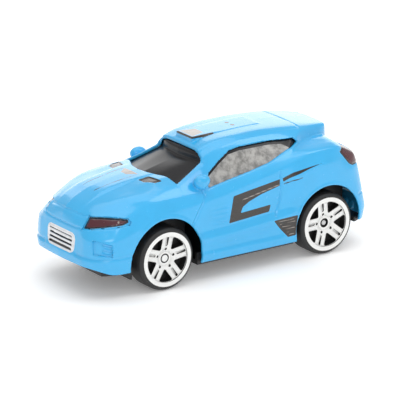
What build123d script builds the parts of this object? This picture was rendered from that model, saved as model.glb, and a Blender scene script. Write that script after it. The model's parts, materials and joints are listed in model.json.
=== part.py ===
from build123d import *
import math
import os

# Pull back toy car, in millimetres. +Z is up, the nose points to -Y, the car's left side is +X,
# and the origin is on the ground at the middle of the car's outline.

# Whole car
CAR_LENGTH = 111.0
BODY_WIDTH = 43.0
ROOF_HEIGHT = 44.3
GROUND_CLEARANCE = 5.8
WHEELBASE = 63.5
REAR_AXLE_Y = 36.25
FRONT_AXLE_Y = REAR_AXLE_Y - WHEELBASE
HALF_LENGTH = CAR_LENGTH / 2
HALF_WIDTH = BODY_WIDTH / 2

# Wheels and axles
TYRE_RADIUS = 10.5
WHEEL_RADIUS = 9.1
WHEEL_WIDTH = 8.0
WHEEL_FACE_X = 21.0
WHEEL_BACK_X = WHEEL_FACE_X - WHEEL_WIDTH
AXLE_RADIUS = 1.0
AXLE_Z = TYRE_RADIUS
RUNNING_CLEARANCE = 0.05
ARCH_RADIUS = 13.5
ARCH_INNER_X = 6.0
SPOKE_COUNT = 5
SPOKE_HALF_WIDTH = 1.95

# Body shell and chassis
SHELL_WALL = 1.3
FIT_GAP = 0.1
SILL_Z = 6.7
FLOOR_THICKNESS = 1.5
FLOOR_TOP = GROUND_CLEARANCE + FLOOR_THICKNESS
WELL_WALL_X = 12.3
WELL_HALF_LENGTH = 12.6
SCREW_RADIUS = 1.1
SCREW_HEAD_RADIUS = 2.2
BOSS_RADIUS = 2.8
BOSS_JOINT_Z = 13.0
SCREW_YS = (-45.4, 50.2)

# Motor
MODULE = 0.4
PRESSURE_ANGLE = math.radians(20)
BACKLASH = 0.12
SHAFT_RADIUS = 0.75
ARBOR_RADIUS = 1.0
CASE_WALL = 0.9
CASE_LEFT_X = 6.4
CASE_RIGHT_X = -8.0
COVER_THICKNESS = 1.0
PINION_TEETH = 12
CLUTCH_TEETH = 14
COMPOUND_TEETH = 28
COMPOUND_PINION_TEETH = 10
SPRING_TEETH = 32
GEAR_WIDTH = 2.6
FRONT_LAYER_X = 2.4
BACK_LAYER_X = -1.4
SPRING_STRIP = 0.3
SPRING_WIDTH = 3.2
SPRING_TURNS = 6
SPRING_INNER_RADIUS = 1.35
SPRING_OUTER_RADIUS = 5.7
SPRING_X = -6.6


def polar(centre, distance, degrees):
    """The point at a distance and direction from a centre, in the (Y, Z) plane."""
    angle = math.radians(degrees)
    return (centre[0] + distance * math.cos(angle), centre[1] + distance * math.sin(angle))


def centre_distance(teeth_a, teeth_b):
    return MODULE * (teeth_a + teeth_b) / 2


# Shaft centres, as (Y, Z), along the gear train from the rear axle to the spring
PINION_TO_CLUTCH = 155.0
CLUTCH_TO_COMPOUND = 135.6
COMPOUND_TO_SPRING = 215.0
AXLE_CENTRE = (REAR_AXLE_Y, AXLE_Z)
CLUTCH_CENTRE = polar(AXLE_CENTRE, centre_distance(PINION_TEETH, CLUTCH_TEETH), PINION_TO_CLUTCH)
COMPOUND_CENTRE = polar(CLUTCH_CENTRE, centre_distance(CLUTCH_TEETH, COMPOUND_TEETH), CLUTCH_TO_COMPOUND)
SPRING_CENTRE = polar(
    COMPOUND_CENTRE,
    centre_distance(COMPOUND_PINION_TEETH, SPRING_TEETH),
    COMPOUND_TO_SPRING,
)


def x_cylinder(radius, x_from, x_to, centre):
    """A round bar along X between two X positions, centred on (Y, Z)."""
    bar = Cylinder(radius, abs(x_to - x_from), rotation=(0, 90, 0))
    return Pos((x_from + x_to) / 2, centre[0], centre[1]) * bar


def block(x_range, y_range, z_range):
    """A box given by its lowest and highest X, Y and Z."""
    size = [high - low for low, high in (x_range, y_range, z_range)]
    middle = [(high + low) / 2 for low, high in (x_range, y_range, z_range)]
    return Pos(*middle) * Box(*size)


def sided(sign, near, far):
    """An X range that reaches from near to far on the car's left (+1) or right (-1)."""
    return (near, far) if sign > 0 else (-far, -near)


def side_face(points):
    """A face in the (Y, Z) plane."""
    return make_face(Plane.YZ * Polyline(*points, close=True))


def mirrored_face(plane, half_points):
    """A face that is symmetric about its first axis' zero, from the points of its right half."""
    left_points = [(-x, y) for x, y in reversed(half_points) if x > 0]
    return make_face(plane * Polyline(*half_points, *left_points, close=True))


# ---- Body shell ----

# The outlines run well below the car, so that the shell is open at the bottom.
BELOW = -12.0

SIDE_OUTLINE = [
    (-54.6, BELOW),
    (-54.6, 10.0),
    (-HALF_LENGTH, 13.0),
    (-HALF_LENGTH, 20.0),
    (-54.2, 26.4),
    (-50.0, 30.4),
    (-43.3, 33.4),
    (-36.0, 34.8),
    (-25.0, 35.8),
    (-11.0, 40.6),
    (-3.0, 42.9),
    (8.0, 44.0),
    (15.0, ROOF_HEIGHT),
    (30.0, 43.6),
    (44.8, 41.4),
    (45.4, 37.4),
    (49.4, 34.2),
    (52.8, 27.4),
    (54.4, 20.0),
    (HALF_LENGTH, 13.0),
    (HALF_LENGTH, BELOW),
]

PLAN_OUTLINE = [
    (0.0, -HALF_LENGTH),
    (9.0, -HALF_LENGTH),
    (14.0, -54.4),
    (17.4, -52.6),
    (19.6, -49.6),
    (20.9, -45.6),
    (HALF_WIDTH, -38.0),
    (HALF_WIDTH, 44.0),
    (20.7, 50.0),
    (19.0, 53.4),
    (15.5, HALF_LENGTH),
]

FRONT_OUTLINE = [
    (21.1, BELOW),
    (21.1, SILL_Z),
    (HALF_WIDTH, 9.5),
    (HALF_WIDTH, 19.0),
    (21.1, 24.5),
    (20.3, 30.0),
    (18.4, 35.0),
    (14.6, 40.0),
    (11.4, 43.0),
    (6.0, 44.0),
    (0.0, ROOF_HEIGHT),
]


def car_hull(inset):
    """The car's outer form, moved inwards all round by inset."""
    side = side_face(SIDE_OUTLINE)
    plan = mirrored_face(Plane.XY, PLAN_OUTLINE)
    front = mirrored_face(Plane.XZ, FRONT_OUTLINE)
    if inset > 0:
        side, plan, front = [
            offset(face, amount=-inset, kind=Kind.INTERSECTION) for face in (side, plan, front)
        ]
    across = extrude(side, amount=CAR_LENGTH, both=True)
    upright = extrude(plan, amount=CAR_LENGTH, both=True)
    along = extrude(front, amount=CAR_LENGTH, both=True)
    return across & upright & along


SIDE_WINDOW = [
    (-9.0, 30.5), (0.0, 31.9), (7.5, 33.3), (15.4, 34.9), (26.5, 38.8),
    (22.0, 40.4), (4.0, 40.6), (-2.6, 38.0),
]
WINDSCREEN_PLAN = [(0.0, -24.4), (8.0, -23.0), (14.6, -19.6), (11.6, -9.2), (0.0, -10.6)]
REAR_WINDOW_PLAN = [(0.0, 45.9), (11.5, 45.9), (12.6, 49.8), (0.0, 50.2)]

# The lower edge of the shell, from the nose to the tail
FRONT_BUMPER_Z = 8.5
REAR_BUMPER_Z = 8.8


def under_cut():
    """Everything below the shell's lower edge, and the four wheel arches."""
    wide = (-CAR_LENGTH, CAR_LENGTH)
    cut = block(wide, (-CAR_LENGTH, FRONT_AXLE_Y), (2 * BELOW, FRONT_BUMPER_Z))
    cut += block(wide, (FRONT_AXLE_Y, REAR_AXLE_Y), (2 * BELOW, SILL_Z))
    cut += block(wide, (REAR_AXLE_Y, CAR_LENGTH), (2 * BELOW, REAR_BUMPER_Z))
    for axle_y in (FRONT_AXLE_Y, REAR_AXLE_Y):
        for sign in (1, -1):
            cut += x_cylinder(ARCH_RADIUS, sign * ARCH_INNER_X, sign * CAR_LENGTH, (axle_y, AXLE_Z))
    return cut


def screw_boss(y, top):
    """The round post under the shell that a chassis screw bites into."""
    height = top - BOSS_JOINT_Z
    return Pos(0, y, BOSS_JOINT_Z + height / 2) * Cylinder(BOSS_RADIUS, height)


# The front boss reaches up to the bonnet; the rear one stands against the tail on a rib.
REAR_BOSS_TOP = 24.0
REAR_RIB_HALF_WIDTH = 0.6
SCREW_TIP_Z = 21.0
PILOT_EXTRA = 1.0
MIRROR_CENTRE = (20.5, -13.6, 34.6)
MIRROR_SIZE = (4.0, 5.2, 4.4)
MIRROR_CORNER_RADIUS = 1.2
STALK_X = (17.6, 20.0)
STALK_Y = (-14.0, -12.0)
STALK_Z = (31.6, 34.0)


def door_mirror(sign):
    """A solid moulded ear on the door, with a stalk that reaches back into the shell."""
    ear = Pos(sign * MIRROR_CENTRE[0], *MIRROR_CENTRE[1:]) * Box(*MIRROR_SIZE)
    ear = fillet(ear.edges(), radius=MIRROR_CORNER_RADIUS)
    return ear + block(sided(sign, *STALK_X), STALK_Y, STALK_Z)


def body_shell():
    outer = car_hull(0)
    inner = car_hull(SHELL_WALL)
    shell = outer - inner
    front_screw_y, rear_screw_y = SCREW_YS
    shell += screw_boss(front_screw_y, ROOF_HEIGHT) & outer
    shell += screw_boss(rear_screw_y, REAR_BOSS_TOP) & outer
    rib_x = (-REAR_RIB_HALF_WIDTH, REAR_RIB_HALF_WIDTH)
    shell += block(rib_x, (rear_screw_y, HALF_LENGTH), (BOSS_JOINT_Z, REAR_BOSS_TOP)) & outer
    shell -= under_cut()
    shell -= extrude(side_face(SIDE_WINDOW), amount=CAR_LENGTH, both=True)
    for window in (WINDSCREEN_PLAN, REAR_WINDOW_PLAN):
        opening = mirrored_face(Plane.XY.offset(ROOF_HEIGHT / 2), window)
        shell -= extrude(opening, amount=ROOF_HEIGHT)
    for boss_y in SCREW_YS:
        pilot_height = SCREW_TIP_Z + PILOT_EXTRA
        shell -= Pos(0, boss_y, pilot_height / 2) * Cylinder(SCREW_RADIUS, pilot_height)
    for sign in (1, -1):
        shell += door_mirror(sign) - inner
    return shell


GLAZING_WALL = 0.9
GLAZING_Y = (-29.0, 50.6)
GLAZING_Z = (29.0, 60.0)


def window_insert():
    """One smoked moulding that lines the cabin behind every window."""
    outer = car_hull(SHELL_WALL + FIT_GAP)
    inner = car_hull(SHELL_WALL + FIT_GAP + GLAZING_WALL)
    return (outer - inner) & block((-CAR_LENGTH, CAR_LENGTH), GLAZING_Y, GLAZING_Z)


# ---- Chassis ----

CHASSIS_INSET = 2.0
FLOOR_Y = (-40.6, 43.0)
NOSE_PANEL_Y = (-50.0, -39.6)
NOSE_PANEL_Z = 8.1
TAIL_PANEL_Y = (42.0, 53.0)
TAIL_PANEL_Z = 8.4
LIP_HEIGHT = 2.6
LIP_WALL = 1.0
LIP_CLEARANCE = 0.9
WELL_WALL_TOP = 24.0
BEARING_X = (9.6, WELL_WALL_X)
BEARING_HALF_LENGTH = 3.4
BEARING_TOP = 14.0
BAY_HALF_WIDTH = 8.3
BAY_Y = (10.0, 40.8)
HEAD_RECESS = 1.2
HEAD_SUNK = 0.2
CROSS_LENGTH = 2.4
CROSS_WIDTH = 0.6
CROSS_DEPTH = 0.6


def plan_slab(inset, y_range, z_range):
    """The car's plan outline as a flat slab, cut to a range of Y."""
    plan = offset(mirrored_face(Plane.XY, PLAN_OUTLINE), amount=-inset, kind=Kind.INTERSECTION)
    slab = Pos(0, 0, z_range[0]) * extrude(plan, amount=z_range[1] - z_range[0])
    return slab & block((-HALF_WIDTH, HALF_WIDTH), y_range, z_range)


def chassis_floor():
    """The flat floor, and the raised panels under the two bumpers."""
    floor = plan_slab(CHASSIS_INSET, FLOOR_Y, (GROUND_CLEARANCE, FLOOR_TOP))
    for panel_y, panel_z, step_y in (
        (NOSE_PANEL_Y, NOSE_PANEL_Z, (FLOOR_Y[0], NOSE_PANEL_Y[1])),
        (TAIL_PANEL_Y, TAIL_PANEL_Z, (TAIL_PANEL_Y[0], FLOOR_Y[1])),
    ):
        floor += plan_slab(CHASSIS_INSET, panel_y, (panel_z, panel_z + FLOOR_THICKNESS))
        floor += plan_slab(CHASSIS_INSET, step_y, (GROUND_CLEARANCE, panel_z + FLOOR_THICKNESS))
    return floor


def chassis():
    lip_z = (FLOOR_TOP, FLOOR_TOP + LIP_HEIGHT)
    lip_inset = SHELL_WALL + LIP_CLEARANCE
    lip = plan_slab(lip_inset, FLOOR_Y, lip_z) - plan_slab(lip_inset + LIP_WALL, FLOOR_Y, lip_z)
    part = chassis_floor() + lip
    for axle_y in (FRONT_AXLE_Y, REAR_AXLE_Y):
        well_y = (axle_y - WELL_HALF_LENGTH, axle_y + WELL_HALF_LENGTH)
        bearing_y = (axle_y - BEARING_HALF_LENGTH, axle_y + BEARING_HALF_LENGTH)
        for sign in (1, -1):
            part -= block(sided(sign, WELL_WALL_X, CAR_LENGTH), well_y, (0, CAR_LENGTH))
            well_wall = sided(sign, WELL_WALL_X - LIP_WALL, WELL_WALL_X)
            part += block(well_wall, well_y, (FLOOR_TOP, WELL_WALL_TOP))
            part += block(sided(sign, *BEARING_X), bearing_y, (FLOOR_TOP, BEARING_TOP))
    part -= block((-BAY_HALF_WIDTH, BAY_HALF_WIDTH), BAY_Y, (0, FLOOR_TOP))
    for axle_y in (FRONT_AXLE_Y, REAR_AXLE_Y):
        hole = AXLE_RADIUS + RUNNING_CLEARANCE
        part -= x_cylinder(hole, -CAR_LENGTH, CAR_LENGTH, (axle_y, AXLE_Z))
    for boss_y, panel_z in zip(SCREW_YS, (NOSE_PANEL_Z, TAIL_PANEL_Z)):
        post_height = BOSS_JOINT_Z - panel_z
        part += Pos(0, boss_y, panel_z + post_height / 2) * Cylinder(BOSS_RADIUS, post_height)
        part -= Pos(0, boss_y, BOSS_JOINT_Z / 2) * Cylinder(SCREW_RADIUS + FIT_GAP, BOSS_JOINT_Z)
        recess_top = panel_z + HEAD_RECESS
        part -= Pos(0, boss_y, recess_top / 2) * Cylinder(SCREW_HEAD_RADIUS + FIT_GAP, recess_top)
    return part


def cross_recess(length, width, height):
    """The cross that a screwdriver fits, along X and Y."""
    return Box(length, width, height) + Box(width, length, height)


def chassis_screws():
    """Two pan head screws, with a cross recess, that hold the shell on the chassis."""
    screws = []
    head_height = HEAD_RECESS - HEAD_SUNK
    for boss_y, panel_z in zip(SCREW_YS, (NOSE_PANEL_Z, TAIL_PANEL_Z)):
        head_bottom = panel_z + HEAD_SUNK
        shank_height = SCREW_TIP_Z - head_bottom
        shank = Pos(0, boss_y, head_bottom + shank_height / 2) * Cylinder(SCREW_RADIUS, shank_height)
        head = Pos(0, boss_y, head_bottom + head_height / 2) * Cylinder(SCREW_HEAD_RADIUS, head_height)
        recess = Pos(0, boss_y, head_bottom) * cross_recess(CROSS_LENGTH, CROSS_WIDTH, 2 * CROSS_DEPTH)
        screws.append(shank + head - recess)
    return Compound(children=screws)


# ---- Wheels ----


def wheel_section(points):
    """Turns a (distance from the wheel's back, radius) outline about the wheel's axis, X."""
    return revolve(make_face(Plane.XY * Polyline(*points, close=True)), axis=Axis.X)


# Distances along a wheel are from the plane of its back rim.
WHEEL_BACK = 0.3
FACE_DISH_DEPTH = 0.35
HUB_FACE = 6.3
FRONT_BORE_END = HUB_FACE - 1.3
HUB_RADIUS = 2.2
HUB_GROOVE = (1.15, 1.6)
HUB_GROOVE_DEPTH = 0.8
BACK_POCKET = (2.6, 7.9)
BACK_POCKET_DEPTH = 3.2
RIM_INNER_RADIUS = 7.7
WINDOW_OUTER_RADIUS = 7.6
WINDOW_CORNER_RADIUS = 0.5
WINDOW_FLOOR = 4.9
SLOT_RADII = (4.25, 7.5)
SLOT_WIDTH = 0.85
SLOT_DEPTH = 0.8
DOT_RADIUS = 0.45
DOT_PLACE = 3.2
TYRE_TREAD = (0.9, 6.4)
TYRE_SHOULDER = [(7.2, 10.25), (7.8, 9.7)]
BACK_CHAMFER = 0.6


def window_cutter():
    """The gap between two spokes: parallel to each spoke's side, and round at the rim."""
    half_pitch = 180 / SPOKE_COUNT
    inner = SPOKE_HALF_WIDTH / math.sin(math.radians(half_pitch))
    edge_angle = math.degrees(math.asin(SPOKE_HALF_WIDTH / WINDOW_OUTER_RADIUS))
    rim_angles = (edge_angle, half_pitch, 2 * half_pitch - edge_angle)
    start, middle, end = [polar((0, 0), WINDOW_OUTER_RADIUS, angle) for angle in rim_angles]
    corner = polar((0, 0), inner, half_pitch)
    outline = [Line(corner, start), ThreePointArc(start, middle, end), Line(end, corner)]
    face = make_face(Plane.YZ * Wire(outline))
    face = fillet(face.vertices(), radius=WINDOW_CORNER_RADIUS)
    return Pos(WINDOW_FLOOR, 0, 0) * extrude(face, amount=WHEEL_WIDTH, dir=(1, 0, 0))


def face_floor(radius):
    """How far the dished face lies from the wheel's back, at a radius."""
    share = (radius - HUB_RADIUS) / (RIM_INNER_RADIUS - HUB_RADIUS)
    return HUB_FACE + share * (WHEEL_WIDTH - FACE_DISH_DEPTH - HUB_FACE)


def wheel_core(through_bore):
    """A moulded wheel with five twin spokes; its outer face points to +X."""
    core = wheel_section([
        (WHEEL_BACK, 0), (WHEEL_BACK, WHEEL_RADIUS), (WHEEL_WIDTH, WHEEL_RADIUS),
        (WHEEL_WIDTH, RIM_INNER_RADIUS), (WHEEL_WIDTH - FACE_DISH_DEPTH, RIM_INNER_RADIUS),
        (HUB_FACE, HUB_RADIUS), (HUB_FACE, 0),
    ])
    pocket_inner, pocket_outer = BACK_POCKET
    core -= wheel_section([
        (0, pocket_inner), (BACK_POCKET_DEPTH, pocket_inner),
        (BACK_POCKET_DEPTH, pocket_outer), (0, pocket_outer),
    ])
    slot_middle = sum(SLOT_RADII) / 2
    slot_face = Plane.YZ * Pos(slot_middle, 0) * SlotOverall(SLOT_RADII[1] - SLOT_RADII[0], SLOT_WIDTH)
    slot_floor = face_floor(slot_middle) - SLOT_DEPTH
    slot = Pos(slot_floor, 0, 0) * extrude(slot_face, amount=WHEEL_WIDTH, dir=(1, 0, 0))
    dot_floor = face_floor(DOT_PLACE) - SLOT_DEPTH
    dot = x_cylinder(DOT_RADIUS, dot_floor, WHEEL_WIDTH, (DOT_PLACE, 0))
    window = window_cutter()
    for number in range(SPOKE_COUNT):
        turn = Rot(number * 360 / SPOKE_COUNT, 0, 0)
        core -= turn * window
        core -= turn * slot
        core -= turn * dot
    groove_inner, groove_outer = HUB_GROOVE
    groove = x_cylinder(groove_outer, HUB_FACE - HUB_GROOVE_DEPTH, WHEEL_WIDTH, (0, 0))
    if through_bore:
        return core - groove - x_cylinder(AXLE_RADIUS, 0, WHEEL_WIDTH, (0, 0))
    groove -= x_cylinder(groove_inner, 0, WHEEL_WIDTH, (0, 0))
    return core - groove - x_cylinder(AXLE_RADIUS, 0, FRONT_BORE_END, (0, 0))


def tyre():
    """A soft ring round the wheel, with a rounded outer shoulder."""
    back_shoulder, front_shoulder = TYRE_TREAD
    return wheel_section([
        (WHEEL_BACK, WHEEL_RADIUS), (WHEEL_BACK, TYRE_RADIUS - BACK_CHAMFER), (back_shoulder, TYRE_RADIUS),
        (front_shoulder, TYRE_RADIUS), *TYRE_SHOULDER, (WHEEL_WIDTH, WHEEL_RADIUS),
    ])


def place_wheel(part, axle_y, sign, phase):
    """Puts a wheel part on its axle, with its outer face away from the car."""
    turned = Rot(phase, 0, 0) * part
    if sign < 0:
        turned = Rot(0, 0, 180) * turned
    return Pos(sign * WHEEL_BACK_X, axle_y, AXLE_Z) * turned


# ---- Axles and gears ----

FRONT_AXLE_HALF_LENGTH = WHEEL_BACK_X + FRONT_BORE_END
REAR_AXLE_HALF_LENGTH = WHEEL_BACK_X + HUB_FACE
AXLE_DOME = 0.5


def axle(half_length, axle_y):
    bar = x_cylinder(AXLE_RADIUS, -half_length, half_length, (axle_y, AXLE_Z))
    return fillet(bar.edges().filter_by(GeomType.CIRCLE), radius=AXLE_DOME)


def involute(angle):
    return math.tan(angle) - angle


def gear_profile(teeth, phase, addendum):
    """An involute gear's outline in the (Y, Z) plane, with one tooth pointing at the phase."""
    pitch_radius = MODULE * teeth / 2
    base_radius = pitch_radius * math.cos(PRESSURE_ANGLE)
    tip_radius = pitch_radius + addendum * MODULE
    root_radius = pitch_radius - 1.25 * MODULE
    half_tooth = math.pi / (2 * teeth) - BACKLASH / (2 * pitch_radius)
    flank = []
    for step in range(5):
        radius = root_radius + (tip_radius - root_radius) * step / 4
        pressure = math.acos(min(1.0, base_radius / radius))
        flank.append((radius, half_tooth + involute(PRESSURE_ANGLE) - involute(pressure)))
    points = []
    for tooth in range(teeth):
        middle = math.radians(phase) + tooth * 2 * math.pi / teeth
        points += [polar((0, 0), radius, math.degrees(middle - half)) for radius, half in flank]
        points += [polar((0, 0), radius, math.degrees(middle + half)) for radius, half in reversed(flank)]
    return side_face(points)


def spur_gear(teeth, phase, addendum, x_from, width, centre):
    return Pos(x_from, *centre) * extrude(gear_profile(teeth, phase, addendum), amount=width)


def meshed_phase(phase, teeth, other_teeth, direction):
    """The phase that puts the next gear's tooth gap on this gear's tooth."""
    fraction = (phase - direction) / (360 / teeth)
    return direction + 180 + (0.5 - fraction) * 360 / other_teeth


PINION_ADDENDUM = 0.8
WHEEL_ADDENDUM = 0.7
PINION_PHASE = PINION_TO_CLUTCH
CLUTCH_PHASE = meshed_phase(PINION_PHASE, PINION_TEETH, CLUTCH_TEETH, PINION_TO_CLUTCH)
COMPOUND_PHASE = meshed_phase(CLUTCH_PHASE, CLUTCH_TEETH, COMPOUND_TEETH, CLUTCH_TO_COMPOUND)
COMPOUND_PINION_PHASE = COMPOUND_TO_SPRING
SPRING_PHASE = meshed_phase(
    COMPOUND_PINION_PHASE, COMPOUND_PINION_TEETH, SPRING_TEETH, COMPOUND_TO_SPRING
)


COLLAR_RADIUS = 1.6
COLLAR_LENGTH = 2.0
SPRING_HUB_RADIUS = 2.4
SPRING_HUB_LENGTH = 1.2
BORE_REACH = 10.0


def gear_bore(radius, centre):
    return x_cylinder(radius, -BORE_REACH, BORE_REACH, centre)


def axle_pinion():
    gear = spur_gear(PINION_TEETH, PINION_PHASE, PINION_ADDENDUM, FRONT_LAYER_X, GEAR_WIDTH, AXLE_CENTRE)
    return gear - gear_bore(AXLE_RADIUS, AXLE_CENTRE)


def clutch_gear():
    gear = spur_gear(CLUTCH_TEETH, CLUTCH_PHASE, PINION_ADDENDUM, FRONT_LAYER_X, GEAR_WIDTH, CLUTCH_CENTRE)
    collar = x_cylinder(COLLAR_RADIUS, FRONT_LAYER_X - COLLAR_LENGTH, FRONT_LAYER_X, CLUTCH_CENTRE)
    return gear + collar - gear_bore(SHAFT_RADIUS + RUNNING_CLEARANCE, CLUTCH_CENTRE)


def compound_gear():
    wheel = spur_gear(
        COMPOUND_TEETH, COMPOUND_PHASE, WHEEL_ADDENDUM, FRONT_LAYER_X, GEAR_WIDTH, COMPOUND_CENTRE
    )
    pinion_width = FRONT_LAYER_X - BACK_LAYER_X
    pinion = spur_gear(
        COMPOUND_PINION_TEETH, COMPOUND_PINION_PHASE, PINION_ADDENDUM,
        BACK_LAYER_X, pinion_width, COMPOUND_CENTRE,
    )
    return wheel + pinion - gear_bore(SHAFT_RADIUS + RUNNING_CLEARANCE, COMPOUND_CENTRE)


def spring_gear():
    gear = spur_gear(SPRING_TEETH, SPRING_PHASE, WHEEL_ADDENDUM, BACK_LAYER_X, GEAR_WIDTH, SPRING_CENTRE)
    hub = x_cylinder(SPRING_HUB_RADIUS, BACK_LAYER_X - SPRING_HUB_LENGTH, BACK_LAYER_X, SPRING_CENTRE)
    return gear + hub - gear_bore(ARBOR_RADIUS, SPRING_CENTRE)


def mainspring():
    """The flat spiral spring, with its outer end folded round a post in the case."""
    growth = (SPRING_OUTER_RADIUS - SPRING_INNER_RADIUS) / (SPRING_TURNS * 360)

    def spiral(radius_shift):
        degrees = range(0, SPRING_TURNS * 360 + 1, 30)
        points = [polar((0, 0), SPRING_INNER_RADIUS + radius_shift + growth * a, a) for a in degrees]
        return Plane.YZ * Spline(*points)

    inside = spiral(0)
    outside = spiral(SPRING_STRIP)
    ends = [Line(inside @ end, outside @ end) for end in (0, 1)]
    strip = extrude(make_face([inside, outside, *ends]), amount=SPRING_WIDTH, dir=(1, 0, 0))
    return Pos(SPRING_X, *SPRING_CENTRE) * strip


# ---- Motor case ----

CASE_OUTLINE = [
    (10.4, GROUND_CLEARANCE + 0.2), (40.4, GROUND_CLEARANCE + 0.2), (40.4, 14.0), (33.0, 25.6),
    (19.5, 25.6), (10.4, 21.2),
]
CASE_CORNER_RADIUS = 1.5
CASE_SCREWS = [(12.6, 20.6), (37.6, 15.4), (12.0, 7.6)]
CASE_POST_RADIUS = 1.5
CASE_SCREW_RADIUS = 0.7
CASE_SCREW_HEAD_RADIUS = 1.3
CASE_SCREW_HEAD_HEIGHT = 0.7
SPRING_POST_RADIUS = 0.7


def case_profile(inset):
    face = side_face(CASE_OUTLINE)
    face = fillet(face.vertices(), radius=CASE_CORNER_RADIUS)
    return offset(face, amount=-inset) if inset else face


def motor_holes(x_from, x_to):
    """The shaft holes that the case and its cover share."""
    holes = x_cylinder(AXLE_RADIUS + RUNNING_CLEARANCE, x_from, x_to, AXLE_CENTRE)
    holes += x_cylinder(ARBOR_RADIUS + RUNNING_CLEARANCE, x_from, x_to, SPRING_CENTRE)
    for centre in (CLUTCH_CENTRE, COMPOUND_CENTRE):
        holes += x_cylinder(SHAFT_RADIUS, x_from, x_to, centre)
    return holes


def motor_case():
    block_out = Pos(CASE_RIGHT_X, 0, 0) * extrude(case_profile(0), amount=CASE_LEFT_X - CASE_RIGHT_X)
    hollow = Pos(CASE_RIGHT_X + CASE_WALL, 0, 0) * extrude(case_profile(CASE_WALL), amount=20)
    case = block_out - hollow
    for centre in CASE_SCREWS:
        case += x_cylinder(CASE_POST_RADIUS, CASE_RIGHT_X, CASE_LEFT_X, centre) & block_out
        case -= x_cylinder(CASE_SCREW_RADIUS, CASE_RIGHT_X + 4, CASE_LEFT_X + 5, centre)
    post = polar(SPRING_CENTRE, SPRING_OUTER_RADIUS + SPRING_STRIP + SPRING_POST_RADIUS + 0.05, 0)
    case += x_cylinder(SPRING_POST_RADIUS, CASE_RIGHT_X, SPRING_X + SPRING_WIDTH, post)
    return case - motor_holes(CASE_RIGHT_X - 1, CASE_RIGHT_X + CASE_WALL + 0.01)


def motor_cover():
    cover = Pos(CASE_LEFT_X, 0, 0) * extrude(case_profile(0), amount=COVER_THICKNESS)
    for centre in CASE_SCREWS:
        cover -= x_cylinder(CASE_SCREW_RADIUS + 0.05, CASE_LEFT_X - 1, CASE_LEFT_X + 5, centre)
    return cover - motor_holes(CASE_LEFT_X - 1, CASE_LEFT_X + COVER_THICKNESS + 1)


def motor_screws():
    screws = []
    head_from = CASE_LEFT_X + COVER_THICKNESS
    for centre in CASE_SCREWS:
        shank = x_cylinder(CASE_SCREW_RADIUS, CASE_RIGHT_X + 5, head_from, centre)
        head = x_cylinder(CASE_SCREW_HEAD_RADIUS, head_from, head_from + CASE_SCREW_HEAD_HEIGHT, centre)
        recess = Rot(0, 90, 0) * cross_recess(1.6, 0.4, 0.8)
        recess = Pos(head_from + CASE_SCREW_HEAD_HEIGHT, *centre) * recess
        screws.append(shank + head - recess)
    return Compound(children=screws)


def shaft(radius, centre):
    """A steel pin that spans the case from wall to cover."""
    return x_cylinder(radius, CASE_RIGHT_X, CASE_LEFT_X + COVER_THICKNESS, centre)


# ---- Writing the parts ----

nodes = {
    "body_shell": body_shell(),
    "window_insert": window_insert(),
    "chassis": chassis(),
    "chassis_screws": chassis_screws(),
    "front_axle": axle(FRONT_AXLE_HALF_LENGTH, FRONT_AXLE_Y),
    "rear_axle": axle(REAR_AXLE_HALF_LENGTH, REAR_AXLE_Y),
    "axle_pinion": axle_pinion(),
    "clutch_gear": clutch_gear(),
    "clutch_shaft": shaft(SHAFT_RADIUS, CLUTCH_CENTRE),
    "compound_gear": compound_gear(),
    "compound_shaft": shaft(SHAFT_RADIUS, COMPOUND_CENTRE),
    "spring_gear": spring_gear(),
    "spring_arbor": shaft(ARBOR_RADIUS, SPRING_CENTRE),
    "mainspring": mainspring(),
    "motor_case": motor_case(),
    "motor_cover": motor_cover(),
    "motor_screws": motor_screws(),
}

# Each wheel's turn at rest, in degrees
WHEEL_PHASES = {"front_left": 86.0, "front_right": 40.0, "rear_left": 103.0, "rear_right": 20.0}

for corner, phase in WHEEL_PHASES.items():
    end, side = corner.split("_")
    axle_y = FRONT_AXLE_Y if end == "front" else REAR_AXLE_Y
    sign = 1 if side == "left" else -1
    nodes[corner + "_wheel"] = place_wheel(wheel_core(end == "rear"), axle_y, sign, phase)
    nodes[corner + "_tyre"] = place_wheel(tyre(), axle_y, sign, phase)

os.makedirs("parts", exist_ok=True)
for name, shape in nodes.items():
    export_step(shape, os.path.join("parts", name + ".step"))
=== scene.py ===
import json
import math
import bmesh
import bpy
import numpy as np
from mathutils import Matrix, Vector


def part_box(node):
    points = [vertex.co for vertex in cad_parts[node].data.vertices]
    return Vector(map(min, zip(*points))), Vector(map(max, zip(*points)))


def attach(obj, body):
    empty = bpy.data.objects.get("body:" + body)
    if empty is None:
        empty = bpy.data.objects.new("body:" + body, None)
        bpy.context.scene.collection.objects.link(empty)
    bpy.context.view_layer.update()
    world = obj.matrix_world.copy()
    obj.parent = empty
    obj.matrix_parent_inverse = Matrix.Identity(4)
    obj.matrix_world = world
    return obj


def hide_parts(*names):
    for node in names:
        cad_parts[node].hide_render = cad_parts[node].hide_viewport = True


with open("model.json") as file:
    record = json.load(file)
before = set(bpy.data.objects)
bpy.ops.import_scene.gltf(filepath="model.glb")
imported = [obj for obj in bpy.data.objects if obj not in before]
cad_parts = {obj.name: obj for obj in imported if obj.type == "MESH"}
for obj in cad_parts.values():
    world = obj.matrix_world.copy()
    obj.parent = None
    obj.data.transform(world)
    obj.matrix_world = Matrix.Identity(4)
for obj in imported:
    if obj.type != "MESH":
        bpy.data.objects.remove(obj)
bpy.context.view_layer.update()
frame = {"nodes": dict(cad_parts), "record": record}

# Shapes below are worked out in millimetres in the row frame, and become metres in add_mesh().
# The car is the same on both sides, so a shape's x is always the distance from its middle plane.
MM = 0.001


def node_box(name):
    low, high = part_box(name)
    return np.array(low) / MM, np.array(high) / MM


def node_centre(name):
    low, high = node_box(name)
    return (low + high) / 2


FRONT_AXLE = node_centre("front_axle")
REAR_AXLE = node_centre("rear_axle")


# ---- Curves, outlines and smooth joins ----


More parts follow.
